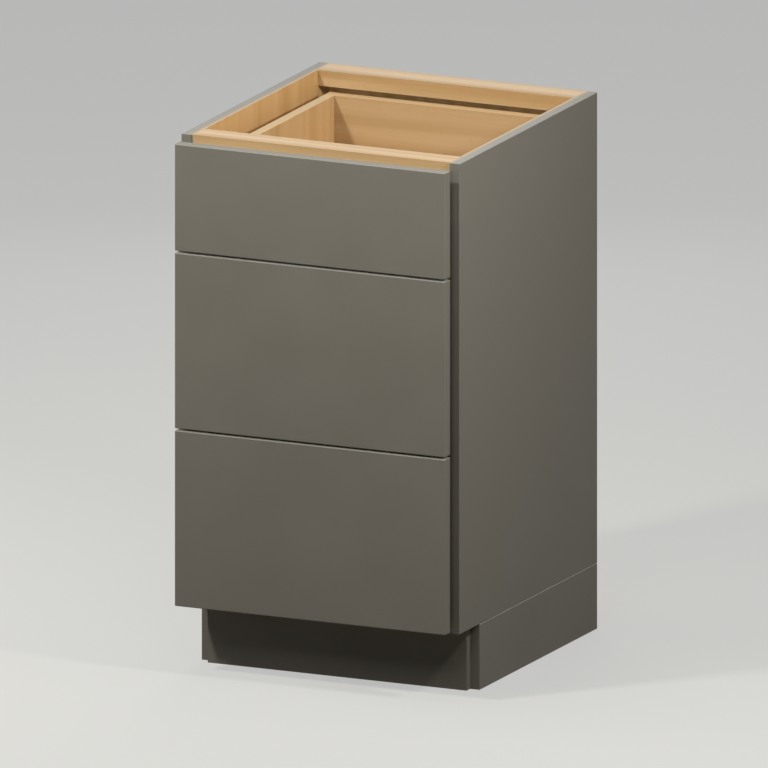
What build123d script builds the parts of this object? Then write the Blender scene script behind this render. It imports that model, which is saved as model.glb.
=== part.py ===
"""Vanity drawer base cabinet: a painted case on a toe base, with three drawers on telescopic slides.

Millimetres, +Z up. The origin is the middle of the footprint on the floor, +X is to the right of
someone who faces the drawers, and the drawers open towards -Y.
"""

import os

from build123d import *

# Case
width = 457.2  # over the outer faces of the side panels
case_depth = 495.3  # front edge of a side panel to the back of the case
case_height = 723.9  # side panel, which stands on the toe base
panel_thickness = 15.875  # painted side panels and toe sides
liner_thickness = 3.175  # natural wood sheet inside each side panel
deck_thickness = 12.7
back_thickness = 4.7625
rail_depth = 41.275  # front and back rails, which lie flat
rail_height = 24.0
rail_setback = 3.175  # front rail and liners behind the front edges of the side panels
paint_round = 0.8  # eased edges of the painted boards
toe_round = 1.6  # upper outer edge of a toe side, which marks its joint with the side panel

# Toe base
toe_height = 101.6
toe_setback = 73.025  # toe sides behind the front edges of the side panels
toe_board_thickness = 12.7
toe_rail_thickness = 15.875

# Drawer fronts
front_thickness = 19.05
finger_gap = 19.05  # between the fronts and the case
front_reveal = 6.35  # case that shows round the stack of fronts
front_spacing = 3.175  # between two fronts
front_round = 1.6  # eased edges of a front
top_front_height = 164.3
drawer_count = 3

# Drawer boxes
rail_clearance = 4.75  # top of the upper box below the front rail
deck_clearance = 7.65  # lowest box above the deck
box_rear_clearance = 52.3875  # boxes in front of the back panel
box_side_thickness = 15.875
box_front_thickness = 15.875
box_back_thickness = 19.05
box_bottom_thickness = 6.35
groove_depth = 6.35
groove_rise = 12.7  # groove for the bottom above the lower edge of the box
groove_play = 0.1
pin_pitch = 42.0  # dovetail spacing, rounded to a whole number of tails
pin_width = 9.0  # narrow end of a dovetail pin
pin_flare = 1 / 6  # widening of each pin flank for its length
pin_gap = 0.1  # glue line on each pin flank

# Slides
slide_thickness = 12.7
slide_height = 45.7
slide_steel = 1.2
slide_play = 0.4  # between members that run in each other
slide_bend = 1.0  # outer radius of the bends
slide_lip_clearance = 1.9  # lips of the case member short of the drawer box
slide_setback = 3.175  # slides behind the front edges of the side panels
slide_rear_margin = 28.575  # slides short of the rear of the boxes
slide_rise = 63.5  # middle of a slide above the lower edge of its box
stop_height = 16.0  # tab that stops a closing drawer
post_thickness = 11.9
post_width = 63.5
post_over = 9.5  # posts above the highest slide

# Dowels and screws
dowel_radius = 3.0
dowel_length = 25.0
dowel_spacing = 20.0  # pair in the end of a rail
toe_dowel_spacing = 45.0  # pair in the end of a toe rail
dowel_edge = 40.0  # outermost dowels of a row from the ends of the toe sides
hole_play = 0.1  # round dowels and screws
hole_end = 0.5  # spare depth of a blind hole
screw_radius = 1.75
screw_head_radius = 3.5
screw_head_height = 1.7
screw_head_round = 0.8
screw_cover = 2.4  # wood left beyond the tip of a screw
post_screw_spacing = 32.0  # pair in one post
drawer_screw_edge = 40.0  # outermost slide screws from the ends of the slide
front_screw_spacing = 220.0
front_screw_edge = 38.0  # front screws from the upper and lower edges of the box front
deck_screw_radius = 2.0
deck_screw_head_radius = 4.0
deck_screw_head_height = 2.2
deck_screw_length = 38.0
deck_screw_spacing = 240.0

# Holes under the rails for the screws of a worktop
top_hole_radius = 2.5
top_hole_spacing = 330.2
top_hole_cover = 4.0  # wood left above a hole

# Planes and edges that several pieces share
y_face = -(case_depth + finger_gap + front_thickness) / 2
y_front_rear = y_face + front_thickness
y_case = y_front_rear + finger_gap
y_back = y_case + case_depth
y_inside_back = y_back - back_thickness
z_deck = toe_height + deck_thickness
z_top = toe_height + case_height
x_panel = width / 2 - panel_thickness
x_liner = x_panel - liner_thickness
x_post = x_liner - post_thickness
x_box = x_post - slide_thickness
x_inside = x_box - box_side_thickness
y_toe = y_case + toe_setback
y_toe_rail = y_toe + toe_rail_thickness / 2
y_toe_back = y_inside_back - toe_rail_thickness / 2
y_box_front = y_front_rear + box_front_thickness
y_box_rear = y_inside_back - box_rear_clearance
y_box_back = y_box_rear - box_back_thickness
y_slide = y_case + slide_setback
y_slide_rear = y_box_rear - slide_rear_margin
slide_length = y_slide_rear - y_slide
y_rail_face = y_case + rail_setback
y_front_rail = y_rail_face + rail_depth / 2
y_back_rail = y_inside_back - rail_depth / 2
z_rail = z_top - rail_height / 2

# Heights of the fronts, from the top one down, with the boxes and slides behind them
lower_count = drawer_count - 1
spacings = front_spacing * lower_count
lower_front_height = (case_height - 2 * front_reveal - top_front_height - spacings) / lower_count
box_drop = rail_height + rail_clearance - front_reveal
box_lift = deck_thickness + deck_clearance - front_reveal
fronts_z = []
z_next = z_top - front_reveal
for height in [top_front_height] + [lower_front_height] * lower_count:
    fronts_z.append((z_next - height, z_next))
    z_next -= height + front_spacing
boxes_z = [(low + box_lift, high - box_drop) for low, high in fronts_z]
slides_z = [low + slide_rise for low, high in boxes_z]

hands = {"left": -1, "right": 1}


def across(side, inner, outer):
    """Limits along X of a board on one side of the middle, low limit first."""
    return tuple(sorted((side * inner, side * outer)))


def board(x, y, z, mode=Mode.ADD):
    """Adds to the open piece, or cuts from it, a board between its limits along each axis."""
    middle = [(low + high) / 2 for low, high in (x, y, z)]
    with Locations(tuple(middle)):
        Box(*[high - low for low, high in (x, y, z)], mode=mode)


def drill(places, radius, depth):
    """Bores a hole along the local Z of each place, by the same depth to both sides of it."""
    with Locations(*places):
        Cylinder(radius, 2 * depth, mode=Mode.SUBTRACT)


def save(piece, name):
    """Labels a finished piece and writes it as its own node."""
    piece.part.label = name
    export_step(piece.part, f"parts/{name}.step")


os.makedirs("parts", exist_ok=True)

# Dowel places: along X through the sides at the rails, the deck and the toe rails, and along Z
# where the side panels stand on the toe sides
dowel_hole = (dowel_radius + hole_play, dowel_length / 2 + hole_end)
toe_row = [y_toe + dowel_edge, (y_toe + y_back) / 2, y_back - dowel_edge]
deck_row = [(near + far) / 2 for near, far in zip(toe_row, toe_row[1:])]
rail_dowels, deck_dowels, toe_rail_dowels, toe_side_dowels = {}, {}, {}, {}
for hand, side in hands.items():
    rail_dowels[hand] = [
        Location((side * x_liner, y + step * dowel_spacing / 2, z_rail), (0, 90, 0))
        for y in (y_front_rail, y_back_rail)
        for step in (-1, 1)
    ]
    deck_dowels[hand] = [
        Location((side * x_liner, y, toe_height + deck_thickness / 2), (0, 90, 0)) for y in deck_row
    ]
    toe_rail_dowels[hand] = [
        Location((side * x_liner, y, toe_height / 2 + step * toe_dowel_spacing / 2), (0, 90, 0))
        for y in (y_toe_rail, y_toe_back)
        for step in (-1, 1)
    ]
    toe_side_dowels[hand] = [
        Location((side * (x_panel + panel_thickness / 2), y, toe_height)) for y in toe_row
    ]


def both(places):
    """The places of both hands as one list."""
    return places["left"] + places["right"]


# Side panels, their liners and the toe sides
for hand, side in hands.items():
    outer_face = Axis((0, 0, 0), (side, 0, 0))

    with BuildPart() as side_panel:
        board(across(side, x_panel, width / 2), (y_case, y_back), (toe_height, z_top))
        fillet(side_panel.faces().sort_by(outer_face)[-1].edges(), paint_round)
        drill(rail_dowels[hand] + deck_dowels[hand] + toe_side_dowels[hand], *dowel_hole)
    save(side_panel, f"side_panel_{hand}")

    with BuildPart() as side_liner:
        board(across(side, x_liner, x_panel), (y_rail_face, y_inside_back), (z_deck, z_top))
        drill(rail_dowels[hand], *dowel_hole)
    save(side_liner, f"side_liner_{hand}")

    with BuildPart() as toe_side:
        board(across(side, x_panel, width / 2), (y_toe, y_back), (0, toe_height))
        fillet(toe_side.faces().sort_by(outer_face)[-1].edges().sort_by(Axis.Z)[-1], toe_round)
        fillet(toe_side.faces().sort_by(outer_face)[-1].edges().sort_by(Axis.Z)[:-1], paint_round)
        drill(toe_rail_dowels[hand] + toe_side_dowels[hand], *dowel_hole)
    save(toe_side, f"toe_side_{hand}")

# Deck, back, rails and the rest of the toe base
deck_screw_places = [
    (step * deck_screw_spacing / 2, y, z_deck) for step in (-1, 1) for y in (y_toe_rail, y_toe_back)
]
deck_pilot = (deck_screw_radius + hole_play, deck_screw_length + hole_end)
top_places = [
    Location((step * top_hole_spacing / 2, y, z_top - rail_height))
    for step in (-1, 1)
    for y in (y_front_rail, y_back_rail)
]
top_hole = (top_hole_radius, rail_height - top_hole_cover)

with BuildPart() as deck_panel:
    board((-x_panel, x_panel), (y_case, y_inside_back), (toe_height, z_deck))
    drill(both(deck_dowels), *dowel_hole)
    with Locations(*deck_screw_places):
        CounterSinkHole(deck_pilot[0], deck_screw_head_radius + hole_play, deck_thickness)
save(deck_panel, "deck_panel")

with BuildPart() as back_panel:
    board((-x_panel, x_panel), (y_inside_back, y_back), (0, z_top))
save(back_panel, "back_panel")

with BuildPart() as front_rail:
    board((-x_liner, x_liner), (y_rail_face, y_rail_face + rail_depth), (z_top - rail_height, z_top))
    drill(both(rail_dowels), *dowel_hole)
    drill(top_places, *top_hole)
save(front_rail, "front_rail")

with BuildPart() as back_rail:
    board((-x_liner, x_liner), (y_inside_back - rail_depth, y_inside_back), (z_top - rail_height, z_top))
    drill(both(rail_dowels), *dowel_hole)
    drill(top_places, *top_hole)
save(back_rail, "back_rail")

with BuildPart() as toe_front_rail:
    board((-x_panel, x_panel), (y_toe, y_toe + toe_rail_thickness), (0, toe_height))
    drill(both(toe_rail_dowels), *dowel_hole)
    drill([Location(place) for place in deck_screw_places], *deck_pilot)
save(toe_front_rail, "toe_front_rail")

with BuildPart() as toe_back_rail:
    board((-x_panel, x_panel), (y_inside_back - toe_rail_thickness, y_inside_back), (0, toe_height))
    drill(both(toe_rail_dowels), *dowel_hole)
    drill([Location(place) for place in deck_screw_places], *deck_pilot)
save(toe_back_rail, "toe_back_rail")

with BuildPart() as toe_board:
    board((-x_panel, x_panel), (y_toe - toe_board_thickness, y_toe), (0, toe_height))
save(toe_board, "toe_board")

with BuildPart() as case_dowels:
    with Locations(*both(rail_dowels), *both(deck_dowels), *both(toe_rail_dowels), *both(toe_side_dowels)):
        Cylinder(dowel_radius, dowel_length)
save(case_dowels, "case_dowels")

with BuildPart() as deck_screws:
    with BuildSketch(Plane.XZ) as half_screw:
        with BuildLine():
            Polyline(
                (0, 0),
                (deck_screw_head_radius, 0),
                (deck_screw_radius, -deck_screw_head_height),
                (deck_screw_radius, 2 * deck_screw_radius - deck_screw_length),
                (0, -deck_screw_length),
                close=True,
            )
        make_face()
    deck_screw = revolve(axis=Axis.Z, mode=Mode.PRIVATE)
    with Locations(*deck_screw_places):
        add(deck_screw)
save(deck_screws, "deck_screws")


def pan_screw(length):
    """A pan-head screw with its head above the XY plane and its shank below."""
    with BuildPart() as screw:
        with BuildSketch():
            Circle(screw_head_radius)
        extrude(amount=screw_head_height)
        fillet(screw.edges().sort_by(Axis.Z)[-1], screw_head_round)
        with BuildSketch():
            Circle(screw_radius)
        extrude(amount=2 * screw_radius - length)
        with BuildSketch(Plane.XY.offset(2 * screw_radius - length)):
            Circle(screw_radius)
        with BuildSketch(Plane.XY.offset(-length)):
            Circle(screw_radius / 4)
        loft()
    return screw.part


pilot_radius = screw_radius + hole_play
case_screw_length = slide_steel + post_thickness - screw_cover
drawer_screw_length = slide_steel + box_side_thickness - screw_cover
front_screw_length = box_front_thickness + front_thickness - screw_cover

# Slide posts, and the slide members that stay on the case
posts_y = {
    "front": (y_slide, y_slide + post_width),
    "rear": (y_slide_rear - post_width, y_slide_rear),
}
z_post = max(slides_z) + slide_height / 2 + post_over
case_screws_y = [
    sum(limits) / 2 + step * post_screw_spacing / 2 for limits in posts_y.values() for step in (-1, 1)
]
case_lip = slide_thickness - slide_lip_clearance
lip_edge = slide_height / 2 - 2 * slide_steel - slide_play
mid_web = slide_steel + screw_head_height + slide_play
mid_lip = case_lip - slide_steel - slide_play
mid_height = slide_height - 2 * (slide_steel + slide_play)
drawer_lip = mid_web + slide_steel + slide_play
drawer_height = mid_height - 2 * (slide_steel + slide_play)
moving_length = slide_length - slide_steel - slide_play


def strip(inner, outer, height, mode=Mode.ADD):
    """Adds to the open slide profile, or cuts from it, a strip centred on the slide's height."""
    with Locations(((inner + outer) / 2, 0)):
        Rectangle(outer - inner, height, mode=mode)


def slide_plane(side, z):
    """Plane of a slide's section: local X runs from the post to the drawer and local Y is up."""
    return Plane((side * x_post, y_slide, z), x_dir=(-side, 0, 0), z_dir=(0, side, 0))


def post_screw_places(hand, z):
    """Where the screws of one case member go, heads towards the drawer."""
    side = hands[hand]
    turn = (0, -90 * side, 0)
    return [Location((side * (x_post - slide_steel), y, z), turn) for y in case_screws_y]


for hand, side in hands.items():
    screw_places = [place for z in slides_z for place in post_screw_places(hand, z)]
    for end, limits in posts_y.items():
        with BuildPart() as slide_post:
            board(across(side, x_post, x_liner), limits, (z_deck, z_post))
            drill(screw_places, pilot_radius, case_screw_length + hole_end)
        save(slide_post, f"slide_post_{end}_{hand}")

    for number, z in enumerate(slides_z, 1):
        with BuildPart() as slide_case:
            with BuildSketch(slide_plane(side, z)) as case_profile:
                strip(0, case_lip, slide_height)
                fillet(case_profile.vertices(), slide_bend)
                strip(slide_steel, case_lip - slide_steel, slide_height - 2 * slide_steel, Mode.SUBTRACT)
                strip(case_lip - slide_steel, case_lip, 2 * lip_edge, Mode.SUBTRACT)
            extrude(amount=side * slide_length)
            board(
                across(side, x_post - case_lip, x_post),
                (y_slide_rear - slide_steel, y_slide_rear),
                (z - stop_height / 2, z + stop_height / 2),
            )
            drill(post_screw_places(hand, z), pilot_radius, slide_steel + hole_end)
        save(slide_case, f"slide_{number}_case_{hand}")

        with BuildPart() as slide_mid:
            with BuildSketch(slide_plane(side, z)) as mid_profile:
                strip(mid_web, mid_lip, mid_height)
                fillet(mid_profile.vertices().group_by(Axis.X)[0], slide_bend)
                strip(mid_web + slide_steel, mid_lip, mid_height - 2 * slide_steel, Mode.SUBTRACT)
            extrude(amount=side * moving_length)
        save(slide_mid, f"slide_{number}_mid_{hand}")

case_screw = pan_screw(case_screw_length)
with BuildPart() as slide_case_screws:
    with Locations(*[place for z in slides_z for hand in hands for place in post_screw_places(hand, z)]):
        add(case_screw)
save(slide_case_screws, "slide_case_screws")

# Drawers, numbered from the top
drawer_screw = pan_screw(drawer_screw_length)
front_screw = pan_screw(front_screw_length)
drawer_screws_y = [
    y_slide + drawer_screw_edge,
    y_slide + moving_length / 2,
    y_slide + moving_length - drawer_screw_edge,
]


def pins(z, end, inward, thickness, gap):
    """Dovetail pins of one corner in the open YZ sketch, narrow at the end of the side board.

    The first and last pins are halved by the edges of the box.
    """
    low, high = z
    count = max(2, round((high - low) / pin_pitch))
    narrow = pin_width / 2 - gap
    wide = narrow + pin_flare * thickness
    base = end + inward * thickness
    for step in range(count + 1):
        middle = low + step * (high - low) / count
        Polygon(
            (end, middle - narrow),
            (end, middle + narrow),
            (base, middle + wide),
            (base, middle - wide),
            align=None,
        )
    with Locations(((end + base) / 2, (low + high) / 2)):
        Rectangle(thickness, high - low, mode=Mode.INTERSECT)


for number in range(1, drawer_count + 1):
    front_z, box_z, slide_z = fronts_z[number - 1], boxes_z[number - 1], slides_z[number - 1]
    groove_z = (box_z[0] + groove_rise, box_z[0] + groove_rise + box_bottom_thickness + groove_play)
    groove_y = (y_box_front, y_box_back)
    front_places = [
        Location((step * front_screw_spacing / 2, y_box_front, z), (-90, 0, 0))
        for step in (-1, 1)
        for z in (box_z[0] + front_screw_edge, box_z[1] - front_screw_edge)
    ]
    slide_places = {
        hand: [
            Location((side * (x_box + slide_steel), y, slide_z), (0, 90 * side, 0))
            for y in drawer_screws_y
        ]
        for hand, side in hands.items()
    }

    with BuildPart() as drawer_front:
        x_edge = width / 2 - front_reveal
        board((-x_edge, x_edge), (y_face, y_front_rear), front_z)
        fillet(drawer_front.edges(), front_round)
        drill(front_places, pilot_radius, front_screw_length + hole_end)
    save(drawer_front, f"drawer_{number}_front")

    for hand, side in hands.items():
        with BuildPart() as box_side:
            board(across(side, x_inside, x_box), (y_front_rear, y_box_rear), box_z)
            board(across(side, x_inside, x_inside + groove_depth), groove_y, groove_z, Mode.SUBTRACT)
            with BuildSketch(Plane.YZ.offset(side * x_inside)):
                pins(box_z, y_front_rear, 1, box_front_thickness, 0)
            extrude(amount=side * box_side_thickness, mode=Mode.SUBTRACT)
            with BuildSketch(Plane.YZ.offset(side * x_inside)):
                pins(box_z, y_box_rear, -1, box_back_thickness, 0)
            extrude(amount=side * box_side_thickness, mode=Mode.SUBTRACT)
            drill(slide_places[hand], pilot_radius, drawer_screw_length + hole_end)
        save(box_side, f"drawer_{number}_box_{hand}")

        with BuildPart() as slide_drawer:
            with BuildSketch(slide_plane(side, slide_z)) as drawer_profile:
                strip(drawer_lip, slide_thickness, drawer_height)
                fillet(drawer_profile.vertices().group_by(Axis.X)[-1], slide_bend)
                strip(
                    drawer_lip,
                    slide_thickness - slide_steel,
                    drawer_height - 2 * slide_steel,
                    Mode.SUBTRACT,
                )
            extrude(amount=side * moving_length)
            drill(slide_places[hand], pilot_radius, slide_steel + hole_end)
        save(slide_drawer, f"slide_{number}_drawer_{hand}")

    with BuildPart() as box_front:
        board((-x_inside, x_inside), (y_front_rear, y_box_front), box_z)
        for side in hands.values():
            with BuildSketch(Plane.YZ.offset(side * x_inside)):
                pins(box_z, y_front_rear, 1, box_front_thickness, pin_gap)
            extrude(amount=side * box_side_thickness)
        board((-x_inside, x_inside), (y_box_front - groove_depth, y_box_front), groove_z, Mode.SUBTRACT)
        drill(front_places, pilot_radius, box_front_thickness + hole_end)
    save(box_front, f"drawer_{number}_box_front")

    with BuildPart() as box_back:
        board((-x_inside, x_inside), (y_box_back, y_box_rear), box_z)
        for side in hands.values():
            with BuildSketch(Plane.YZ.offset(side * x_inside)):
                pins(box_z, y_box_rear, -1, box_back_thickness, pin_gap)
            extrude(amount=side * box_side_thickness)
        board((-x_inside, x_inside), (y_box_back, y_box_back + groove_depth), groove_z, Mode.SUBTRACT)
    save(box_back, f"drawer_{number}_box_back")

    tongue = groove_depth - groove_play
    bottom_z = (groove_z[0], groove_z[0] + box_bottom_thickness)
    with BuildPart() as box_bottom:
        board((-x_inside - tongue, x_inside + tongue), groove_y, bottom_z)
        board((-x_inside, x_inside), (y_box_front - tongue, y_box_back + tongue), bottom_z)
    save(box_bottom, f"drawer_{number}_box_bottom")

    with BuildPart() as drawer_screws:
        with Locations(*front_places):
            add(front_screw)
        with Locations(*both(slide_places)):
            add(drawer_screw)
    save(drawer_screws, f"drawer_{number}_screws")
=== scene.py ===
"""Looks of the vanity drawer base cabinet: finishes, screws, studio and camera around the fixed frame."""

import logging
import math
from dataclasses import dataclass
from enum import Enum

import bmesh
import bpy
import numpy as np
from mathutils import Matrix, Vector


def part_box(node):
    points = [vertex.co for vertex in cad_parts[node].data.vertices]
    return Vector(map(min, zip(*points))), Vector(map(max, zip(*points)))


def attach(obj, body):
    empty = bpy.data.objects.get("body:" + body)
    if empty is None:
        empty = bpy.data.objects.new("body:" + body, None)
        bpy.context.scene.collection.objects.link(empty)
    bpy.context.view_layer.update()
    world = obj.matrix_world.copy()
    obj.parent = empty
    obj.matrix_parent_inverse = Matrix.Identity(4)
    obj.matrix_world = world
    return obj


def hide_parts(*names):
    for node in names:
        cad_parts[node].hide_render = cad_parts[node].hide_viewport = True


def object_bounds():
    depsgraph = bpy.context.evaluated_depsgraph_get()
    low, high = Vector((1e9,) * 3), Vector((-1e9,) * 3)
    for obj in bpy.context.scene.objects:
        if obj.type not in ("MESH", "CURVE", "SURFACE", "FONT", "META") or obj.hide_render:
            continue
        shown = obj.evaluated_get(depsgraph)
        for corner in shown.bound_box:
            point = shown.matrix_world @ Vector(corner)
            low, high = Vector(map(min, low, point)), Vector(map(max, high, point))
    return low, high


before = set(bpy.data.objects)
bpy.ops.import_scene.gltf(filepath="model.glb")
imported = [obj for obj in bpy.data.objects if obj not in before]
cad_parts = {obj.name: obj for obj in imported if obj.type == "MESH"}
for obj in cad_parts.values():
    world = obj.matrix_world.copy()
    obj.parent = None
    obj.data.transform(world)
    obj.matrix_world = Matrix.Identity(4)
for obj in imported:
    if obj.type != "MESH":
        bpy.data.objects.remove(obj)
cad_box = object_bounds()

logging.basicConfig(level=logging.INFO, format="%(message)s")
log = logging.getLogger("cabinet")

MM = 0.001
HANDS = {"left": -1, "right": 1}
DRAWERS = (1, 2, 3)
HALF_WIDTH_MM = cad_box[1].x / MM
SPRAY_REACH_MM = 12.7  # how far in from its outer face a side panel's upper edge is painted
SLIDE_SHEET_MM = 1.2  # steel that the slide members are rolled from
MERGE_MM = 0.005  # points of a new mesh that lie closer than this are one
COATING_IOR = 1.5  # lacquer and enamel
# A wave texture of scale 1 repeats every 2 pi / 20 units.
WAVE_PERIOD = 2 * math.pi / 20
GOLDEN_TURN = math.pi * (3 - math.sqrt(5))
NOISE_MOST = (0.35, 0.65)  # limits of most values of a noise or wave texture
NOISE_ALL = (0.3, 0.7)  # limits of nearly all of them


class Axis(Enum):
    """An axis of the cabinet, with the turn that brings it to a pattern's own Z."""

    X = (0.0, -math.pi / 2, 0.0)
    Y = (math.pi / 2, 0.0, 0.0)
    Z = (0.0, 0.0, 0.0)

    @property
    def place(self) -> int:
        """Index of the axis in a vector."""
        return "XYZ".index(self.name)


def linear(code: str) -> tuple[float, float, float, float]:
    """Turns an sRGB hex colour into the linear colour that a shader takes.

    Args:
        code: Six hex digits, such as "c8a06b".

    Returns:
        Linear red, green and blue from 0 to 1, and an alpha of 1.
    """
    srgb = np.array([int(code[i : i + 2], 16) for i in (0, 2, 4)]) / 255
    rgb = np.where(srgb <= 0.04045, srgb / 12.92, ((srgb + 0.055) / 1.055) ** 2.4)
    return (*rgb.tolist(), 1.0)


def add_node(
    tree: bpy.types.NodeTree, kind: str, settings: dict | None = None, **links: object
) -> bpy.types.Node:
    """Adds one shader node with its settings, values and links.

    Args:
        tree: Node tree that gets the node.
        kind: Node type, such as "ShaderNodeTexNoise".
        settings: Node properties by name.
        **links: Input sockets by name, with _ for a space, or by i and a number. A value is an output
            socket to link from or a constant.

    Returns:
        The new node.
    """
    node = tree.nodes.new(kind)
    for name, value in (settings or {}).items():
        setattr(node, name, value)
    for name, value in links.items():
        numbered = name[0] == "i" and name[1:].isdigit()
        socket = node.inputs[int(name[1:])] if numbered else node.inputs[name.replace("_", " ")]
        if isinstance(value, bpy.types.NodeSocket):
            tree.links.new(value, socket)
        else:
            socket.default_value = value
    return node


def new_material(name: str) -> tuple[bpy.types.Material, bpy.types.NodeTree, bpy.types.Node]:
    """Makes an empty material.

    Args:
        name: Name of the real material.

    Returns:
        The material, its node tree and its principled shader, which is linked to the output.
    """
    material = bpy.data.materials.new(name)
    material.use_nodes = True
    tree = material.node_tree
    tree.nodes.clear()
    shader = add_node(tree, "ShaderNodeBsdfPrincipled")
    add_node(tree, "ShaderNodeOutputMaterial", Surface=shader.outputs["BSDF"])
    return material, tree, shader


def stops(ramp: bpy.types.Node, *colours: tuple[float, str]) -> None:
    """Sets the stops of a colour ramp.

    Args:
        ramp: Colour ramp node.
        *colours: Place from 0 to 1 and sRGB hex colour of each stop, in order.
    """
    elements = ramp.color_ramp.elements
    while len(elements) < len(colours):
        elements.new(1.0)
    for element, (place, code) in zip(elements, colours):
        element.position = place
        element.color = linear(code)


def facing(tree: bpy.types.NodeTree, axis: Axis, least: float = 0.5) -> bpy.types.NodeSocket:
    """Picks the faces that are square to an axis.

    Args:
        tree: Node tree of the material.
        axis: Axis of the cabinet.
        least: Part of the normal that must lie along the axis, from 0 to 1.

    Returns:
        1 on the faces that are square to the axis and 0 on the others.
    """
    normal = add_node(tree, "ShaderNodeNewGeometry").outputs["True Normal"]
    parts = add_node(tree, "ShaderNodeSeparateXYZ", Vector=normal)
    size = add_node(tree, "ShaderNodeMath", {"operation": "ABSOLUTE"}, i0=parts.outputs[axis.place])
    return add_node(tree, "ShaderNodeMath", {"operation": "GREATER_THAN"}, i0=size.outputs[0],
                    i1=least).outputs[0]


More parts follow.
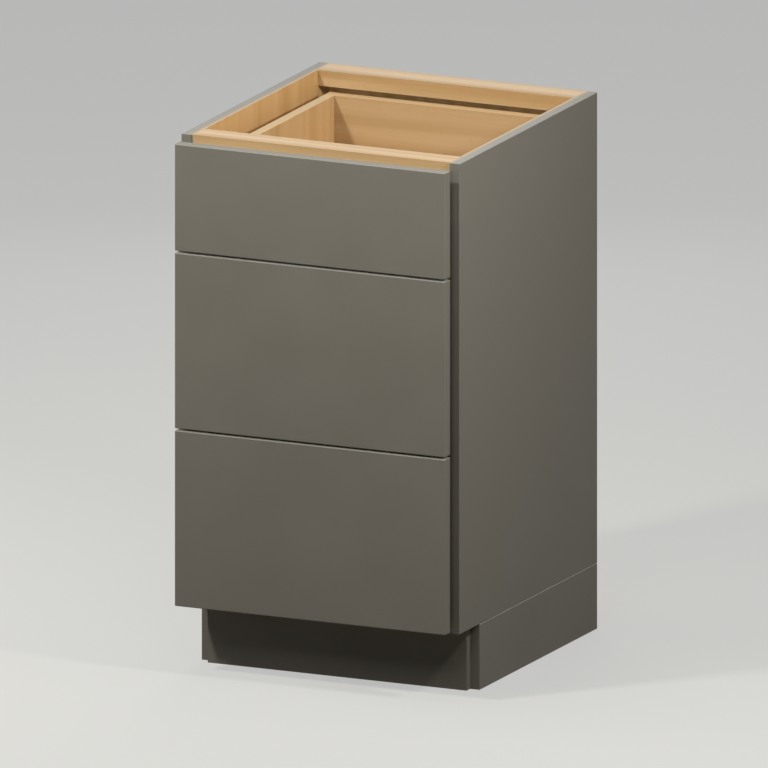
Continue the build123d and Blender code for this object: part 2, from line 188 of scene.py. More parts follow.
@dataclass(frozen=True)
class SatinPaint:
    """Sprayed satin enamel on smooth board: an even warm gray with a faint orange peel and a soft sheen.

    On the eased edges, and on the faces and edges that look up, the colour is painted lighter: a painted
    highlight and sheen for the light that they catch. Level faces can take a paler colour, on their inner
    part or whole: bare board where the coat stops on the side panels' upper edges, and painted light on the
    fronts' level faces in the gaps between fronts.
    """

    name: str = "satin_enamel_gray"
    colour: str = "767166"
    shade: str = "726d62"
    # Painted highlight: a lighter colour mixed into the eased edges and upward faces for the light that they
    # catch.
    painted_highlight: str = "99958a"
    edge_highlight: float = 0.1
    upper_highlight: float = 0.55
    # Largest part of the normal, and its upward part, where the painted highlight starts and where it is
    # full.
    edge_normal: tuple[float, float] = (0.99, 0.90)
    upper_normal: tuple[float, float] = (0.1, 0.4)
    # Paler colour of level faces: bare board on the side panels, painted light in the gaps between fronts.
    bare_and_gap_light: str = "a9967b"
    bare_and_gap_light_within_mm: float = 0.0  # how far from the cabinet's middle the level faces take the paler colour
    bare_and_gap_light_normal: float = 0.98  # least upward or downward part of the normal on a level face
    cloud_mm: float = 140.0
    peel_mm: float = 2.6  # true orange peel is about 1 mm, drawn coarser so that it shows
    peel_depth_mm: float = 0.02
    peel_strength: float = 0.25
    roughness: tuple[float, float] = (0.52, 0.64)
    sheen: float = 0.35  # specular level, low because the satin coat scatters

    def build(self) -> bpy.types.Material:
        """Makes the paint.

        Returns:
            The material.
        """
        material, tree, shader = new_material(self.name)
        place = add_node(tree, "ShaderNodeTexCoord").outputs["Object"]
        cloud = add_node(tree, "ShaderNodeTexNoise", Vector=place, Scale=1 / (self.cloud_mm * MM), Detail=3.0)
        tone = add_node(tree, "ShaderNodeValToRGB", Fac=cloud.outputs["Fac"])
        stops(tone, *zip(NOISE_MOST, (self.shade, self.colour)))
        # Painted highlight and sheen on the eased edges and the faces that look up.
        colour = add_node(tree, "ShaderNodeMix", {"data_type": "RGBA"}, i0=self._highlight_amount(tree),
                          i6=tone.outputs["Color"], i7=linear(self.painted_highlight)).outputs[2]
        # Paler level faces: bare board on the side panels' upper edges, painted light in the gaps between
        # fronts.
        if self.bare_and_gap_light_within_mm:
            colour = add_node(tree, "ShaderNodeMix", {"data_type": "RGBA"}, i0=self._bare_and_gap_light_mask(tree, place),
                              i6=colour, i7=linear(self.bare_and_gap_light)).outputs[2]
        peel = add_node(tree, "ShaderNodeTexNoise", Vector=place, Scale=1 / (self.peel_mm * MM), Detail=2.0)
        gloss = add_node(tree, "ShaderNodeMapRange", Value=cloud.outputs["Fac"], i1=NOISE_ALL[0],
                         i2=NOISE_ALL[1], i3=self.roughness[0], i4=self.roughness[1])
        bump = add_node(tree, "ShaderNodeBump", Height=peel.outputs["Fac"], Strength=self.peel_strength,
                        Distance=self.peel_depth_mm * MM)
        tree.links.new(colour, shader.inputs["Base Color"])
        tree.links.new(gloss.outputs["Result"], shader.inputs["Roughness"])
        tree.links.new(bump.outputs["Normal"], shader.inputs["Normal"])
        shader.inputs["IOR"].default_value = COATING_IOR
        shader.inputs["Specular IOR Level"].default_value = self.sheen
        return material

    def _bare_and_gap_light_mask(self, tree: bpy.types.NodeTree, place: bpy.types.NodeSocket) -> bpy.types.NodeSocket:
        """Picks the inner part of the level faces: bare board on the side panels, painted light in the front
        gaps.

        Args:
            tree: Node tree of the material.
            place: Object coordinates.

        Returns:
            1 on the paler part and 0 elsewhere.
        """
        x = add_node(tree, "ShaderNodeSeparateXYZ", Vector=place).outputs[0]
        away = add_node(tree, "ShaderNodeMath", {"operation": "ABSOLUTE"}, i0=x)
        within = add_node(tree, "ShaderNodeMath", {"operation": "LESS_THAN"}, i0=away.outputs[0],
                          i1=self.bare_and_gap_light_within_mm * MM)
        return add_node(tree, "ShaderNodeMath", {"operation": "MULTIPLY"}, i0=within.outputs[0],
                        i1=facing(tree, Axis.Z, self.bare_and_gap_light_normal)).outputs[0]

    def _highlight_amount(self, tree: bpy.types.NodeTree) -> bpy.types.NodeSocket:
        """Picks the rounded edges, whose faces are square to no axis, and the faces and edges that look up,
        for the painted highlight.

        Args:
            tree: Node tree of the material.

        Returns:
            How much painted highlight the colour takes, 0 on the other faces.
        """
        normal = add_node(tree, "ShaderNodeNewGeometry").outputs["True Normal"]
        up = add_node(tree, "ShaderNodeSeparateXYZ", Vector=normal).outputs[2]
        sizes = add_node(tree, "ShaderNodeVectorMath", {"operation": "ABSOLUTE"}, i0=normal)
        x, y, z = add_node(tree, "ShaderNodeSeparateXYZ", Vector=sizes.outputs[0]).outputs
        level = add_node(tree, "ShaderNodeMath", {"operation": "MAXIMUM"}, i0=x, i1=y)
        most = add_node(tree, "ShaderNodeMath", {"operation": "MAXIMUM"}, i0=level.outputs[0], i1=z)
        eased = add_node(tree, "ShaderNodeMapRange", Value=most.outputs[0], i1=self.edge_normal[0],
                         i2=self.edge_normal[1], i3=0.0, i4=self.edge_highlight)
        upper = add_node(tree, "ShaderNodeMapRange", Value=up, i1=self.upper_normal[0],
                         i2=self.upper_normal[1], i3=0.0, i4=self.upper_highlight)
        return add_node(tree, "ShaderNodeMath", {"operation": "MAXIMUM"}, i0=eased.outputs[0],
                        i1=upper.outputs[0]).outputs[0]


@dataclass(frozen=True)
class LacqueredWood:
    """Planed hardwood under clear lacquer: pale bands, faint growth rings and fine fibres along the grain.

    The pattern is solid: rings run round the pith of each stave, and board ends are calmer than faces. With
    plies, the edges of the board show its glued layers.
    """

    name: str
    grain: Axis
    light: str = "ccad80"
    middle: str = "bc9b6d"
    dark: str = "aa895b"
    tone_places: tuple[float, float, float] = (0.32, 0.50, 0.66)  # values of the figure, dark first
    band_mm: tuple[float, float] = (42.0, 900.0)
    stave_mm: float = 95.0
    pith_mm: tuple[float, float] = (30.0, 62.0)
    ring_mm: float = 24.0  # a wide band of the figure, in which several growth rings run together
    ring_run_mm: float = 300.0
    ring_wander: float = 6.0
    figure: float = 0.22  # strength of the rings, which is low on boards cut along the rays
    fibre_mm: tuple[float, float] = (3.0, 160.0)  # real fibres are finer, drawn coarser so that they show
    fibre: float = 0.2  # strength of the fibres
    fibre_depth_mm: float = 0.06
    fibre_strength: float = 0.3  # of the bump that the fibres make
    fleck_mm: tuple[float, float] = (1.4, 10.0)
    fleck_noise: tuple[float, float] = (0.60, 0.72)  # values of the noise where a fleck starts and is full
    fleck: float = 0.30  # strength of the flecks
    roughness: tuple[float, float] = (0.32, 0.44)
    # On the maple box boards the calm colour is paler: a painted sheen on their upper edges.
    end: str = "bf9f72"  # calm colour of the board ends
    calm: float = 0.85  # strength of that colour
    face: Axis | None = None  # axis square to a board whose edges and ends all show the calm colour
    ply: Axis | None = None
    ply_mm: float = 1.6
    ply_dark: str = "9c7a4f"
    ply_contrast: float = 0.75
    ply_wander: float = 0.15

    def build(self) -> bpy.types.Material:
        """Makes the wood.

        Returns:
            The material.
        """
        material, tree, shader = new_material(self.name)
        place = add_node(tree, "ShaderNodeTexCoord").outputs["Object"]
        along = add_node(tree, "ShaderNodeMapping", Vector=place, Rotation=self.grain.value).outputs["Vector"]
        bands = self._streaks(tree, along, self.band_mm, 2.0)
        fibres = self._streaks(tree, along, self.fibre_mm, 3.0)
        flecks = self._streaks(tree, along, self.fleck_mm, 1.0)
        figure = add_node(tree, "ShaderNodeMix", Factor=self.figure, i2=bands, i3=self._rings(tree, along))
        fine = add_node(tree, "ShaderNodeMix", Factor=self.fibre, i2=figure.outputs[0], i3=fibres)
        tone = add_node(tree, "ShaderNodeValToRGB", Fac=fine.outputs[0])
        stops(tone, *zip(self.tone_places, (self.dark, self.middle, self.light)))
        ticks = add_node(tree, "ShaderNodeMapRange", Value=flecks, i1=self.fleck_noise[0],
                         i2=self.fleck_noise[1], i3=0.0, i4=self.fleck)
        side = add_node(tree, "ShaderNodeMix", {"data_type": "RGBA"}, i0=ticks.outputs["Result"],
                        i6=tone.outputs["Color"], i7=linear(self.dark))
        # The calm colour on ends and edges; on the maple box boards it is also a painted sheen on the upper
        # edges.
        square, others = (self.calm, 0.0) if self.face is None else (0.0, self.calm)
        ends = add_node(tree, "ShaderNodeMapRange", Value=facing(tree, self.face or self.grain), i1=0.0,
                        i2=1.0, i3=others, i4=square)
        colour = add_node(tree, "ShaderNodeMix", {"data_type": "RGBA"}, i0=ends.outputs["Result"],
                          i6=side.outputs[2], i7=linear(self.end)).outputs[2]
        if self.ply is not None:
            colour = self._layers(tree, place, colour)
        gloss = add_node(tree, "ShaderNodeMapRange", Value=fibres, i1=NOISE_ALL[0], i2=NOISE_ALL[1],
                         i3=self.roughness[0], i4=self.roughness[1])
        bump = add_node(tree, "ShaderNodeBump", Height=fibres, Strength=self.fibre_strength,
                        Distance=self.fibre_depth_mm * MM)
        tree.links.new(colour, shader.inputs["Base Color"])
        tree.links.new(gloss.outputs["Result"], shader.inputs["Roughness"])
        tree.links.new(bump.outputs["Normal"], shader.inputs["Normal"])
        shader.inputs["IOR"].default_value = COATING_IOR
        return material

    @staticmethod
    def _streaks(
        tree: bpy.types.NodeTree, along: bpy.types.NodeSocket, sizes: tuple[float, float], detail: float
    ) -> bpy.types.NodeSocket:
        """Draws noise out along the grain.

        Args:
            tree: Node tree of the material.
            along: Coordinates with the grain along Z.
            sizes: Width and length of a streak in millimetres.
            detail: Finer noise on top, in octaves.

        Returns:
            Noise from 0 to 1.
        """
        across, run = (1 / (size * MM) for size in sizes)
        drawn = add_node(tree, "ShaderNodeMapping", Vector=along, Scale=(across, across, run))
        noise = add_node(tree, "ShaderNodeTexNoise", Vector=drawn.outputs["Vector"], Scale=1.0, Detail=detail)
        return noise.outputs["Fac"]

    def _rings(self, tree: bpy.types.NodeTree, along: bpy.types.NodeSocket) -> bpy.types.NodeSocket:
        """Draws wandering growth rings round the pith of each stave, mirrored from stave to stave.

        Args:
            tree: Node tree of the material.
            along: Coordinates with the grain along Z.

        Returns:
            Waves from 0 to 1, one for each ring.
        """
        x, y, z = add_node(tree, "ShaderNodeSeparateXYZ", Vector=along).outputs
        stave = self.stave_mm * MM
        fold = {"operation": "PINGPONG"}
        u, v = (add_node(tree, "ShaderNodeMath", fold, i0=part, i1=stave).outputs[0] for part in (x, y))
        folded = add_node(tree, "ShaderNodeCombineXYZ", X=u, Y=v, Z=z)
        across, run = (WAVE_PERIOD / (size * MM) for size in (self.ring_mm, self.ring_run_mm))
        pith = [-place * MM * across for place in self.pith_mm]
        centred = add_node(tree, "ShaderNodeMapping", Vector=folded.outputs[0], Scale=(across, across, run),
                           Location=(*pith, 0.0))
        rings = add_node(tree, "ShaderNodeTexWave", {"wave_type": "RINGS", "rings_direction": "Z"},
                         Vector=centred.outputs["Vector"], Scale=1.0, Distortion=self.ring_wander, Detail=2.0,
                         Detail_Scale=0.9)
        return rings.outputs["Fac"]

    def _layers(
        self, tree: bpy.types.NodeTree, place: bpy.types.NodeSocket, face: bpy.types.NodeSocket
    ) -> bpy.types.NodeSocket:
        """Draws the plies on the faces that cut across the layers.

        Args:
            tree: Node tree of the material.
            place: Object coordinates.
            face: Colour of the face veneer.

        Returns:
            Colour of the veneer on the faces and of the alternating plies on the edges.
        """
        waves = add_node(tree, "ShaderNodeTexWave", {"bands_direction": self.ply.name}, Vector=place,
                         Scale=WAVE_PERIOD / (2 * self.ply_mm * MM), Distortion=self.ply_wander)
        core = add_node(tree, "ShaderNodeMapRange", Value=waves.outputs["Fac"], i1=NOISE_MOST[0],
                        i2=NOISE_MOST[1], i3=0.0, i4=self.ply_contrast)
        plies = add_node(tree, "ShaderNodeMix", {"data_type": "RGBA"}, i0=core.outputs["Result"], i6=face,
                         i7=linear(self.ply_dark))
        return add_node(tree, "ShaderNodeMix", {"data_type": "RGBA"}, i0=facing(tree, self.ply),
                        i6=plies.outputs[2], i7=face).outputs[2]


@dataclass(frozen=True)
class ZincSteel:
    """Zinc-plated rolled steel: a cool gray metal with fine lines along the rolling and a soft spangle."""

    name: str = "zinc_plated_steel"
    colour: str = "c6c9cc"
    shade: str = "aeb1b4"
    line_mm: tuple[float, float] = (1.5, 160.0)  # rolling lines, drawn coarser than real so that they show
    roughness: tuple[float, float] = (0.28, 0.42)

    def build(self) -> bpy.types.Material:
        """Makes the steel.

        Returns:
            The material.
        """
        material, tree, shader = new_material(self.name)
        place = add_node(tree, "ShaderNodeTexCoord").outputs["Object"]
        across, run = (1 / (size * MM) for size in self.line_mm)
        drawn = add_node(tree, "ShaderNodeMapping", Vector=place, Scale=(across, run, across))
        lines = add_node(tree, "ShaderNodeTexNoise", Vector=drawn.outputs["Vector"], Scale=1.0, Detail=3.0)
        tone = add_node(tree, "ShaderNodeValToRGB", Fac=lines.outputs["Fac"])
        stops(tone, *zip(NOISE_MOST, (self.shade, self.colour)))
        gloss = add_node(tree, "ShaderNodeMapRange", Value=lines.outputs["Fac"], i1=NOISE_ALL[0],
                         i2=NOISE_ALL[1], i3=self.roughness[0], i4=self.roughness[1])
        tree.links.new(tone.outputs["Color"], shader.inputs["Base Color"])
        tree.links.new(gloss.outputs["Result"], shader.inputs["Roughness"])
        shader.inputs["Metallic"].default_value = 1.0
        return material


Finish = SatinPaint | LacqueredWood | ZincSteel
# The upper front is painted all round, with a painted highlight on its eased edges and upper edge.
PAINT = SatinPaint()
# The vanity top covers the upper edges of the side panels, so the spray leaves their inner part bare.
# The lighter colour on their painted part and eased edges is a painted highlight and sheen.
PANEL_PAINT = SatinPaint("satin_enamel_gray_panel", painted_highlight="a09e97", upper_highlight=0.65,
                         bare_and_gap_light_within_mm=HALF_WIDTH_MM - SPRAY_REACH_MM)
# On the lower fronts the level faces are painted pale, as painted light in the gaps between fronts,
# and their eased edges take the painted highlight.
GAP_LIT_FRONT_PAINT = SatinPaint("satin_enamel_gray_gap_lit", upper_highlight=0.35, bare_and_gap_light="b4b0a4",
                         bare_and_gap_light_within_mm=HALF_WIDTH_MM)
# The toe base's upper faces and eased edges are painted pale, a painted highlight along its joints with
# the side panels.
TOE_HIGHLIT_PAINT = SatinPaint("satin_enamel_gray_scuffed", painted_highlight="c6c2b6", upper_highlight=0.5)
# Rolled strip is drawn with lines along the slides, and small bright screws with hardly any.
SLIDE_STEEL = ZincSteel()
SCREW_STEEL = ZincSteel("bright_zinc_screws", colour="d2d2cf", shade="b9b9b6", line_mm=(1.0, 6.0),
                        roughness=(0.22, 0.36))
# Knife-cut veneer of the liners, ambered by its lacquer, is even and has upright grain.
LINER_VENEER = LacqueredWood("maple_veneer_z", Axis.Z, light="e6bf87", middle="dcb277", dark="d0a469",
                             figure=0.08, end="a9967b", face=Axis.X)
# Solid maple is calm on the box sides and shows faint rings on the rails and the box ends. The paler colour
# on the upper edges is a painted sheen, over the calm end grain on the box sides.
BOX_SIDE_MAPLE = LacqueredWood("lacquered_maple_z", Axis.Z, light="d8b787", middle="ceaa78", dark="c19d6b",
                               figure=0.08, end="c8b18c")
RAIL_MAPLE = LacqueredWood("lacquered_maple_x", Axis.X)
BOX_END_MAPLE = LacqueredWood("lacquered_maple_box_ends", Axis.X, light="b79a72", middle="ae9066",
                              dark="a2855b", end="cba97b", face=Axis.Y)
# Birch plywood of the back and the box bottoms, warm under thick lacquer.
BACK_PLYWOOD = LacqueredWood("birch_plywood_back", Axis.Z, light="ecc98f", middle="e4bd80", dark="d8ae70",
                             ply=Axis.Y)
BOTTOM_PLYWOOD = LacqueredWood("birch_plywood_bottom", Axis.Y, light="d4af77", middle="caa46c",
                               dark="bd9760", ply=Axis.Z)
# Turned beech is pinker than maple.
DOWEL_BEECH = LacqueredWood("beech_dowel", Axis.X, light="d3ac86", middle="c79d76", dark="b78a63")


def plywood(grain: Axis, thickness: Axis) -> LacqueredWood:
    """Birch plywood with its face grain along one axis and its layers stacked along another."""
    name = f"birch_plywood_{grain.name.lower()}{thickness.name.lower()}"
    return LacqueredWood(name, grain, light="d1b48a", middle="c6a77b", dark="b8976b", ply=thickness)


class Workshop:
    """Makes each finish once and puts it on the nodes and the new pieces."""

    def __init__(self) -> None:
        """Starts with no finish made."""
        self.made: dict[str, bpy.types.Material] = {}

    def material(self, finish: Finish) -> bpy.types.Material:
        """Gives the material of a finish, made at its first use.

        Args:
            finish: The finish.

        Returns:
            Its material.
        """
        if finish.name not in self.made:
            self.made[finish.name] = finish.build()
        return self.made[finish.name]

    def dress(self, finish: Finish, *nodes: str) -> None:
        """Gives nodes of the frame a finish.

        Args:
            finish: The finish.
            *nodes: Node names.
        """
        for node in nodes:
            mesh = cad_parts[node].data
            mesh.materials.clear()
            mesh.materials.append(self.material(finish))
            log.info("%s: %s", node, finish.name)


class Head(Enum):
    """Form of a screw head."""

    PAN = "flat top with a rounded rim, on its seat"
    SUNK = "flat top level with the seat, over a cone"


@dataclass(frozen=True)
class Screw:
    """A wood screw with a cross recess, round its own axis, with its seat at 0 and its tip below."""

    head: Head
    head_mm: float
    rise_mm: float  # height of a pan head, or depth of a sunk head's cone
    shank_mm: float
    length_mm: float
    rim_mm: float = 0.8
    arm_mm: float = 0.55  # half width of an arm of the recess
    reach_mm: float = 2.0  # arm's end from the axis
    recess_mm: float = 1.2
    floor_rise: float = 0.6  # part of the recess's depth by which its floor rises to the arm's end
    arc_points: int = 4  # on the floor of an arm and between two arms
    rim_points: int = 5

    def surface(self) -> tuple[np.ndarray, np.ndarray]:
        """Works out the surface as a grid of rings by angles.

        Every ring is a circle, and its angles are spread so that each quarter has some points between the
        walls of an arm, at the height of the recess's floor, and as many between two arms, at the height of
        the head. The walls stand between the two. The rings go from the middle of the recess over the head to
        the tip. The ring through the recess's inner corners is there twice, on the floor and on the head.

        Returns:
            Points as rings x angles x 3 in metres, and quads as rows of four point numbers.
        """
        corner = self.arm_mm * math.sqrt(2)
        top = self.rise_mm if self.head is Head.PAN else 0.0
        middle_rings = (0.0, corner / 2, corner)
        arm_rings = (corner, (corner + self.reach_mm) / 2, self.reach_mm)
        inner = np.array(middle_rings + arm_rings)
        floor = top - self.recess_mm * (1 - self.floor_rise * inner / self.reach_mm)
        recess = np.stack((inner, floor, np.where(np.arange(len(inner)) < len(middle_rings), floor, top)))
        outline = self._outline(top)
        radius, low, high = np.concatenate((recess, outline[[0, 1, 1]]), axis=1)
        half = np.arcsin(self.arm_mm / np.maximum(radius, corner))[:, None]
        step = np.linspace(0.0, 1.0, self.arc_points)
        quarters = np.arange(4)
        turn = math.pi / 2
        quarter = np.concatenate(((2 * step - 1) * half, half + step * (turn - 2 * half)), axis=1)
        angle = np.concatenate([quarter + number * turn for number in quarters], axis=1)
        heights = np.repeat(np.stack((low, high), axis=1), self.arc_points, axis=1)
        height = np.tile(heights, (1, len(quarters)))
        across = radius[:, None]
        points = np.stack((across * np.cos(angle), across * np.sin(angle), height), axis=-1) * MM
        count, sides = angle.shape
        number = np.arange(count * sides).reshape(count, sides)
        turned = np.roll(number, -1, axis=1)
        quads = np.stack((number[:-1], number[1:], turned[1:], turned[:-1]), axis=-1).reshape(-1, 4)
        return points, quads

    def _outline(self, top: float) -> np.ndarray:
        """Half section from the end of the recess over the rim and the shank to the tip.

        The rim is a quarter circle, and the tip a cone as long as the shank is thick.

        Args:
            top: Height of the head above the seat in millimetres.

        Returns:
            Radii and heights in millimetres, as two rows.
        """
        shank = [(self.shank_mm, 2 * self.shank_mm - self.length_mm), (self.shank_mm / 4, -self.length_mm)]
        tip = [(0.0, -self.length_mm)]
        if self.head is Head.PAN:
            bend = np.linspace(0.0, math.pi / 2, self.rim_points)
            radii = self.head_mm + self.rim_mm * (np.sin(bend) - 1)
            rim = np.stack((radii, top + self.rim_mm * (np.cos(bend) - 1)))
            seat = [(self.head_mm, 0.0), (self.shank_mm, 0.0)]
        else:
            rim = np.array([[self.head_mm], [top]])
            seat = [(self.shank_mm, -self.rise_mm)]
        start = np.array([[self.reach_mm], [top]])
        return np.concatenate((start, rim, np.array(seat + shank + tip).T), axis=1)


def pan_screw(length_mm: float) -> Screw:
    """A pan-head screw of the slides and the fronts, which differ in length only."""
    return Screw(Head.PAN, head_mm=3.5, rise_mm=1.7, shank_mm=1.75, length_mm=length_mm)


@dataclass(frozen=True)
class Places:
    """Where screws of one kind sit: points in metres, and the way that their heads look."""

    points: np.ndarray
    axis: Axis
    way: int

    def set(self, screw: Screw) -> tuple[np.ndarray, np.ndarray]:
        """Copies a screw to each place, each with its recess turned by another angle.

        Args:
            screw: The screw.

        Returns:
            Points in metres and quads.
        """
        grid, quads = screw.surface()
        shape = grid.reshape(-1, 3)
        spin = np.arange(len(self.points))[:, None] * GOLDEN_TURN
        x = shape[:, 0] * np.cos(spin) - shape[:, 1] * np.sin(spin)
        y = shape[:, 0] * np.sin(spin) + shape[:, 1] * np.cos(spin)
        z = np.broadcast_to(shape[:, 2], x.shape)
        local = (x, y, z) if self.way > 0 else (y, x, -z)
        turned = np.roll(np.stack(local, axis=-1), self.axis.place + 1, axis=-1)
        points = (turned + self.points[:, None, :]).reshape(-1, 3)
        steps = np.arange(len(self.points))[:, None, None] * len(shape)
        return points, (quads[None] + steps).reshape(-1, 4)


def screw_piece(node: str, body: str, sets: list[tuple[np.ndarray, np.ndarray]], shop: Workshop) -> None:
    """Makes one piece of screws that stands for a node.

    Args:
        node: Node of the frame that holds the plain screws.
        body: Body that carries them.
        sets: Points and quads of each kind of screw.
        shop: Where the finish is made.
    """
    steps = np.cumsum([0] + [len(points) for points, _ in sets])
    points = np.concatenate([points for points, _ in sets])
    quads = np.concatenate([quads + step for (_, quads), step in zip(sets, steps)])
    mesh = bpy.data.meshes.new(f"{node}_crosshead")
    mesh.from_pydata(points.tolist(), [], quads.tolist())
    edit = bmesh.new()
    edit.from_mesh(mesh)
    bmesh.ops.remove_doubles(edit, verts=edit.verts, dist=MERGE_MM * MM)
    edit.to_mesh(mesh)
    edit.free()
    mesh.materials.append(shop.material(SCREW_STEEL))
    piece = bpy.data.objects.new(mesh.name, mesh)
    bpy.context.scene.collection.objects.link(piece)
    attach(piece, body)
    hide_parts(node)
    log.info("%s: %s", piece.name, SCREW_STEEL.name)


def middle(node: str) -> np.ndarray:
    """Middle of a node's box in metres."""
    low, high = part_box(node)
    return np.array((low + high) / 2)


@dataclass
class Case:
    """The painted case with its liners, rails, deck, back, toe base and the slide members that stay on it."""

    post_screw_spacing_mm: float = 32.0
    deck_screw_spacing_mm: float = 240.0
    slide_sheet_mm: float = SLIDE_SHEET_MM
    slide_screw: Screw = pan_screw(10.7)
    deck_screw: Screw = Screw(Head.SUNK, head_mm=4.0, rise_mm=2.2, shank_mm=2.0, length_mm=38.0)

    def dress(self, shop: Workshop) -> None:
        """Puts the finishes on the case.

        Args:
            shop: Where the finishes are made.
        """
        shop.dress(TOE_HIGHLIT_PAINT, "toe_board")
        for hand in HANDS:
            shop.dress(PANEL_PAINT, f"side_panel_{hand}")
            shop.dress(TOE_HIGHLIT_PAINT, f"toe_side_{hand}")
            shop.dress(LINER_VENEER, f"side_liner_{hand}")
            shop.dress(plywood(Axis.Z, Axis.X), f"slide_post_front_{hand}", f"slide_post_rear_{hand}")
            shop.dress(SLIDE_STEEL, *(f"slide_{number}_case_{hand}" for number in DRAWERS))
        shop.dress(RAIL_MAPLE, "front_rail", "back_rail")
        shop.dress(DOWEL_BEECH, "case_dowels")
        shop.dress(plywood(Axis.Y, Axis.Z), "deck_panel")
        shop.dress(BACK_PLYWOOD, "back_panel")
        shop.dress(plywood(Axis.X, Axis.Y), "toe_front_rail", "toe_back_rail")

    def build(self, shop: Workshop) -> None:
        """Makes the screws of the deck and of the slides' case members.

        Args:
            shop: Where the finishes are made.
        """
        half = self.deck_screw_spacing_mm * MM / 2
        deck = [(x, middle(rail)[1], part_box("deck_panel")[1].z)
                for x in (-half, half) for rail in ("toe_front_rail", "toe_back_rail")]
        screw_piece("deck_screws", "case", [Places(np.array(deck), Axis.Z, 1).set(self.deck_screw)], shop)
        slides = [self._slide_places(hand).set(self.slide_screw) for hand in HANDS]
        screw_piece("slide_case_screws", "case", slides, shop)

    def _slide_places(self, hand: str) -> Places:
        """Finds the seats of the screws in the case members of one hand.

        Args:
            hand: Left or right.

        Returns:
            The seats, with heads that look at the drawers.
        """
        side, half = HANDS[hand], self.post_screw_spacing_mm * MM / 2
        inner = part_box(f"slide_post_front_{hand}")[side < 0].x - side * self.slide_sheet_mm * MM
        depths = [middle(f"slide_post_{end}_{hand}")[1] + step
                  for end in ("front", "rear") for step in (-half, half)]
        heights = [middle(f"slide_{number}_case_{hand}")[2] for number in DRAWERS]
        return Places(np.array([(inner, y, z) for z in heights for y in depths]), Axis.X, -side)


@dataclass
class Drawer:
    """One drawer with the slide members that move with it and the middle members."""

    number: int
    front_screw_spacing_mm: float = 220.0
    front_screw_edge_mm: float = 38.0
    slide_screw_edge_mm: float = 40.0
    slide_sheet_mm: float = SLIDE_SHEET_MM
    front_screw: Screw = pan_screw(32.525)
    slide_screw: Screw = pan_screw(14.675)

    @property
    def name(self) -> str:
        """Name of the drawer's body, with which its nodes' names start."""
        return f"drawer_{self.number}"

    def dress(self, shop: Workshop) -> None:
        """Puts the finishes on the drawer and its slides.

        Args:
            shop: Where the finishes are made.
        """
        shop.dress(PAINT if self.number == DRAWERS[0] else GAP_LIT_FRONT_PAINT, f"{self.name}_front")
        shop.dress(BOX_END_MAPLE, f"{self.name}_box_front", f"{self.name}_box_back")
        shop.dress(BOTTOM_PLYWOOD, f"{self.name}_box_bottom")
        for hand in HANDS:
            shop.dress(BOX_SIDE_MAPLE, f"{self.name}_box_{hand}")
            shop.dress(SLIDE_STEEL, *(f"slide_{self.number}_{member}_{hand}" for member in ("mid", "drawer")))

    def build(self, shop: Workshop) -> None:
        """Makes the screws of the front and of the slides' drawer members.

        Args:
            shop: Where the finishes are made.
        """
        low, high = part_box(f"{self.name}_box_front")
        half, edge = self.front_screw_spacing_mm * MM / 2, self.front_screw_edge_mm * MM
        front = [(x, high.y, z) for x in (-half, half) for z in (low.z + edge, high.z - edge)]
        sets = [Places(np.array(front), Axis.Y, 1).set(self.front_screw)]
        sets += [self._slide_places(hand).set(self.slide_screw) for hand in HANDS]
        screw_piece(f"{self.name}_screws", self.name, sets, shop)

    def _slide_places(self, hand: str) -> Places:
        """Finds the seats of the screws in the drawer member of one hand.

        Args:
            hand: Left or right.

        Returns:
            The seats, with heads that look away from the drawer.
        """
        side, edge = HANDS[hand], self.slide_screw_edge_mm * MM
        member = f"slide_{self.number}_drawer_{hand}"
        low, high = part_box(member)
        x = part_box(f"{self.name}_box_{hand}")[side > 0].x + side * self.slide_sheet_mm * MM
        _, y, z = middle(member)
        return Places(np.array([(x, depth, z) for depth in (low.y + edge, y, high.y - edge)]), Axis.X, side)


@dataclass(frozen=True)
class Lamp:
    """A square soft box that shines at the middle of the cabinet."""

    name: str
    travel: tuple[float, float, float]  # direction in which the light goes
    distance: float
    side: float
    power: float
    mirrored: bool = True  # whether it shows in glossy surfaces

    def build(self, target: Vector) -> None:
        """Hangs the lamp.

        Args:
            target: Point that it shines at.
        """
        data = bpy.data.lights.new(self.name, "AREA")
        data.size = self.side
        data.energy = self.power
        lamp = bpy.data.objects.new(self.name, data)
        way = Vector(self.travel).normalized()
        lamp.location = target - way * self.distance
        lamp.rotation_mode = "QUATERNION"
        lamp.rotation_quaternion = way.to_track_quat("-Z", "Y")
        lamp.visible_camera = False
        lamp.visible_glossy = self.mirrored
        bpy.context.scene.collection.objects.link(lamp)


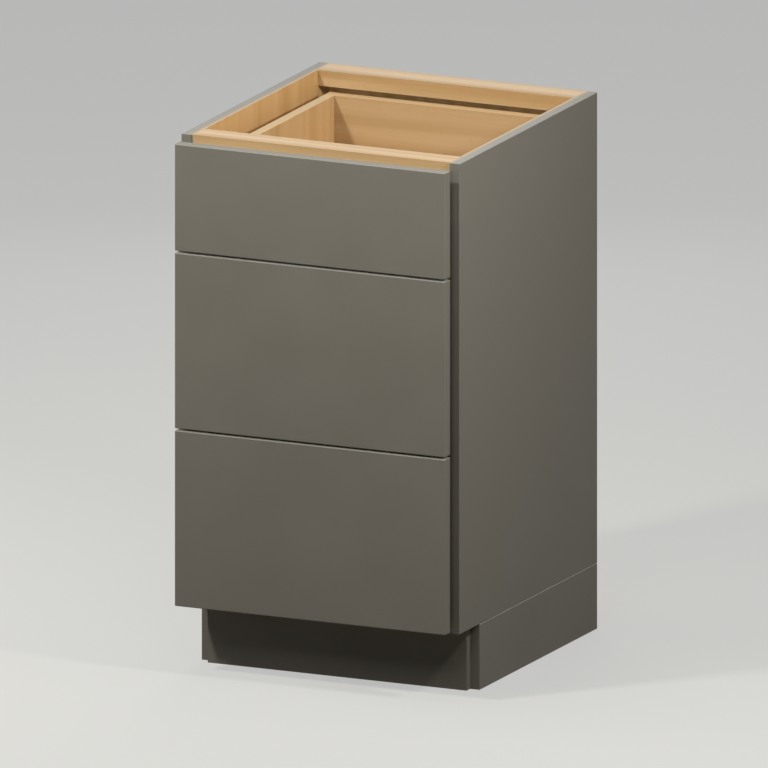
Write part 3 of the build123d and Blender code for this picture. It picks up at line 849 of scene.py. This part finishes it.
@dataclass
class Studio:
    """Floor, lamps, surroundings and camera."""

    lamps: tuple[Lamp, ...]
    floor_side: float = 40.0
    floor_colour: str = "818079"
    floor_bounce: str = "464540"  # darker, for the light that the floor throws back on the cabinet
    floor_glow: float = 0.45  # paleness of the floor to the camera, besides which it shows the shadows
    floor_roughness: float = 0.9
    surround: float = 0.05  # even light of the room on the cabinet
    backdrop: float = 0.6  # brightness of the room in the picture and in reflections
    azimuth: float = 24.576
    elevation: float = 13.814
    picture_width: float = 1.1479
    camera_distance: float = 5.0

    def build(self) -> None:
        """Makes the studio round the frame."""
        target = (cad_box[0] + cad_box[1]) / 2
        for lamp in self.lamps:
            lamp.build(target)
        self._floor()
        self._surroundings()
        self._camera(target)
        bpy.context.scene.view_settings.view_transform = "Standard"

    @staticmethod
    def _shown(tree: bpy.types.NodeTree) -> bpy.types.NodeSocket:
        """Tells the rays that show the background, straight or off metal and glass, from those that light.

        Args:
            tree: Node tree of the floor or the room.

        Returns:
            1 for a ray that shows the background and 0 for any other.
        """
        ray = add_node(tree, "ShaderNodeLightPath").outputs
        direct = add_node(tree, "ShaderNodeMath", {"operation": "MAXIMUM"}, i0=ray["Is Camera Ray"],
                          i1=ray["Is Glossy Ray"])
        shown = add_node(tree, "ShaderNodeMath", {"operation": "MAXIMUM"}, i0=direct.outputs[0],
                         i1=ray["Is Transmission Ray"])
        return shown.outputs[0]

    def _floor(self) -> None:
        """Lays a square floor, a grid of two by two points at the height of the toe base's foot."""
        half = self.floor_side / 2
        x, y = np.meshgrid((-half, half), (-half, half))
        points = np.stack((x, y, np.full_like(x, cad_box[0].z)), axis=-1).reshape(-1, 3)
        mesh = bpy.data.meshes.new("studio_floor")
        mesh.from_pydata(points.tolist(), [], [(0, 1, 3, 2)])
        material, tree, shader = new_material("matte_floor")
        shown = self._shown(tree)
        colour = add_node(tree, "ShaderNodeMix", {"data_type": "RGBA"}, i0=shown,
                          i6=linear(self.floor_bounce), i7=linear(self.floor_colour))
        glow = add_node(tree, "ShaderNodeMath", {"operation": "MULTIPLY"}, i0=shown, i1=self.floor_glow)
        tree.links.new(colour.outputs[2], shader.inputs["Base Color"])
        tree.links.new(glow.outputs[0], shader.inputs["Emission Strength"])
        shader.inputs["Emission Color"].default_value = (1.0, 1.0, 1.0, 1.0)
        shader.inputs["Roughness"].default_value = self.floor_roughness
        shader.inputs["Specular IOR Level"].default_value = 0.0
        mesh.materials.append(material)
        floor = bpy.data.objects.new("studio_floor", mesh)
        bpy.context.scene.collection.objects.link(floor)

    def _surroundings(self) -> None:
        """Fills the room with an even light that shows pale in reflections."""
        world = bpy.data.worlds.new("studio")
        bpy.context.scene.world = world
        world.use_nodes = True
        tree = world.node_tree
        tree.nodes.clear()
        strength = add_node(tree, "ShaderNodeMapRange", Value=self._shown(tree), i1=0.0, i2=1.0,
                            i3=self.surround, i4=self.backdrop)
        light = add_node(tree, "ShaderNodeBackground", Strength=strength.outputs["Result"])
        add_node(tree, "ShaderNodeOutputWorld", Surface=light.outputs["Background"])

    def _camera(self, target: Vector) -> None:
        """Sets up a parallel view from the front right.

        Args:
            target: Point in the middle of the picture.
        """
        data = bpy.data.cameras.new("camera")
        data.type = "ORTHO"
        data.ortho_scale = self.picture_width
        around, up = math.radians(self.azimuth), math.radians(self.elevation)
        back = Vector((math.sin(around) * math.cos(up), -math.cos(around) * math.cos(up), math.sin(up)))
        camera = bpy.data.objects.new("camera", data)
        camera.location = target + back * self.camera_distance
        camera.rotation_mode = "QUATERNION"
        camera.rotation_quaternion = (-back).to_track_quat("-Z", "Y")
        bpy.context.scene.collection.objects.link(camera)
        bpy.context.scene.camera = camera


LAMPS = (
    Lamp("key", (0.474, 0.806, -1.0), distance=2.8, side=0.22, power=43.5),
    Lamp("front_left", (0.6, 1.5, -0.85), distance=1.75, side=0.4, power=2.3),
    Lamp("front_right", (-0.5, 1.5, -0.85), distance=1.75, side=0.4, power=4.0),
    Lamp("right", (-1.1, 0.4, -0.88), distance=1.75, side=0.22, power=14.6),
    Lamp("low_right", (-1.0, 0.08, -0.22), distance=2.0, side=0.7, power=2.2, mirrored=False),
    Lamp("low_left", (1.0, 0.08, -0.22), distance=2.0, side=0.7, power=16.0, mirrored=False),
    Lamp("overhead", (0.0, 0.1, -1.0), distance=2.2, side=1.2, power=7.0),
    Lamp("rear", (0.2, -0.6, -1.0), distance=3.0, side=1.2, power=16.0, mirrored=False),
    Lamp("low_rear", (0.404, -0.883, -0.239), distance=2.6, side=1.2, power=4.0),
)


def main() -> None:
    """Dresses the frame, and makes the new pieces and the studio."""
    shop = Workshop()
    for assembly in (Case(), *(Drawer(number) for number in DRAWERS)):
        assembly.dress(shop)
        assembly.build(shop)
    Studio(LAMPS).build()


if __name__ == "__main__":
    main()
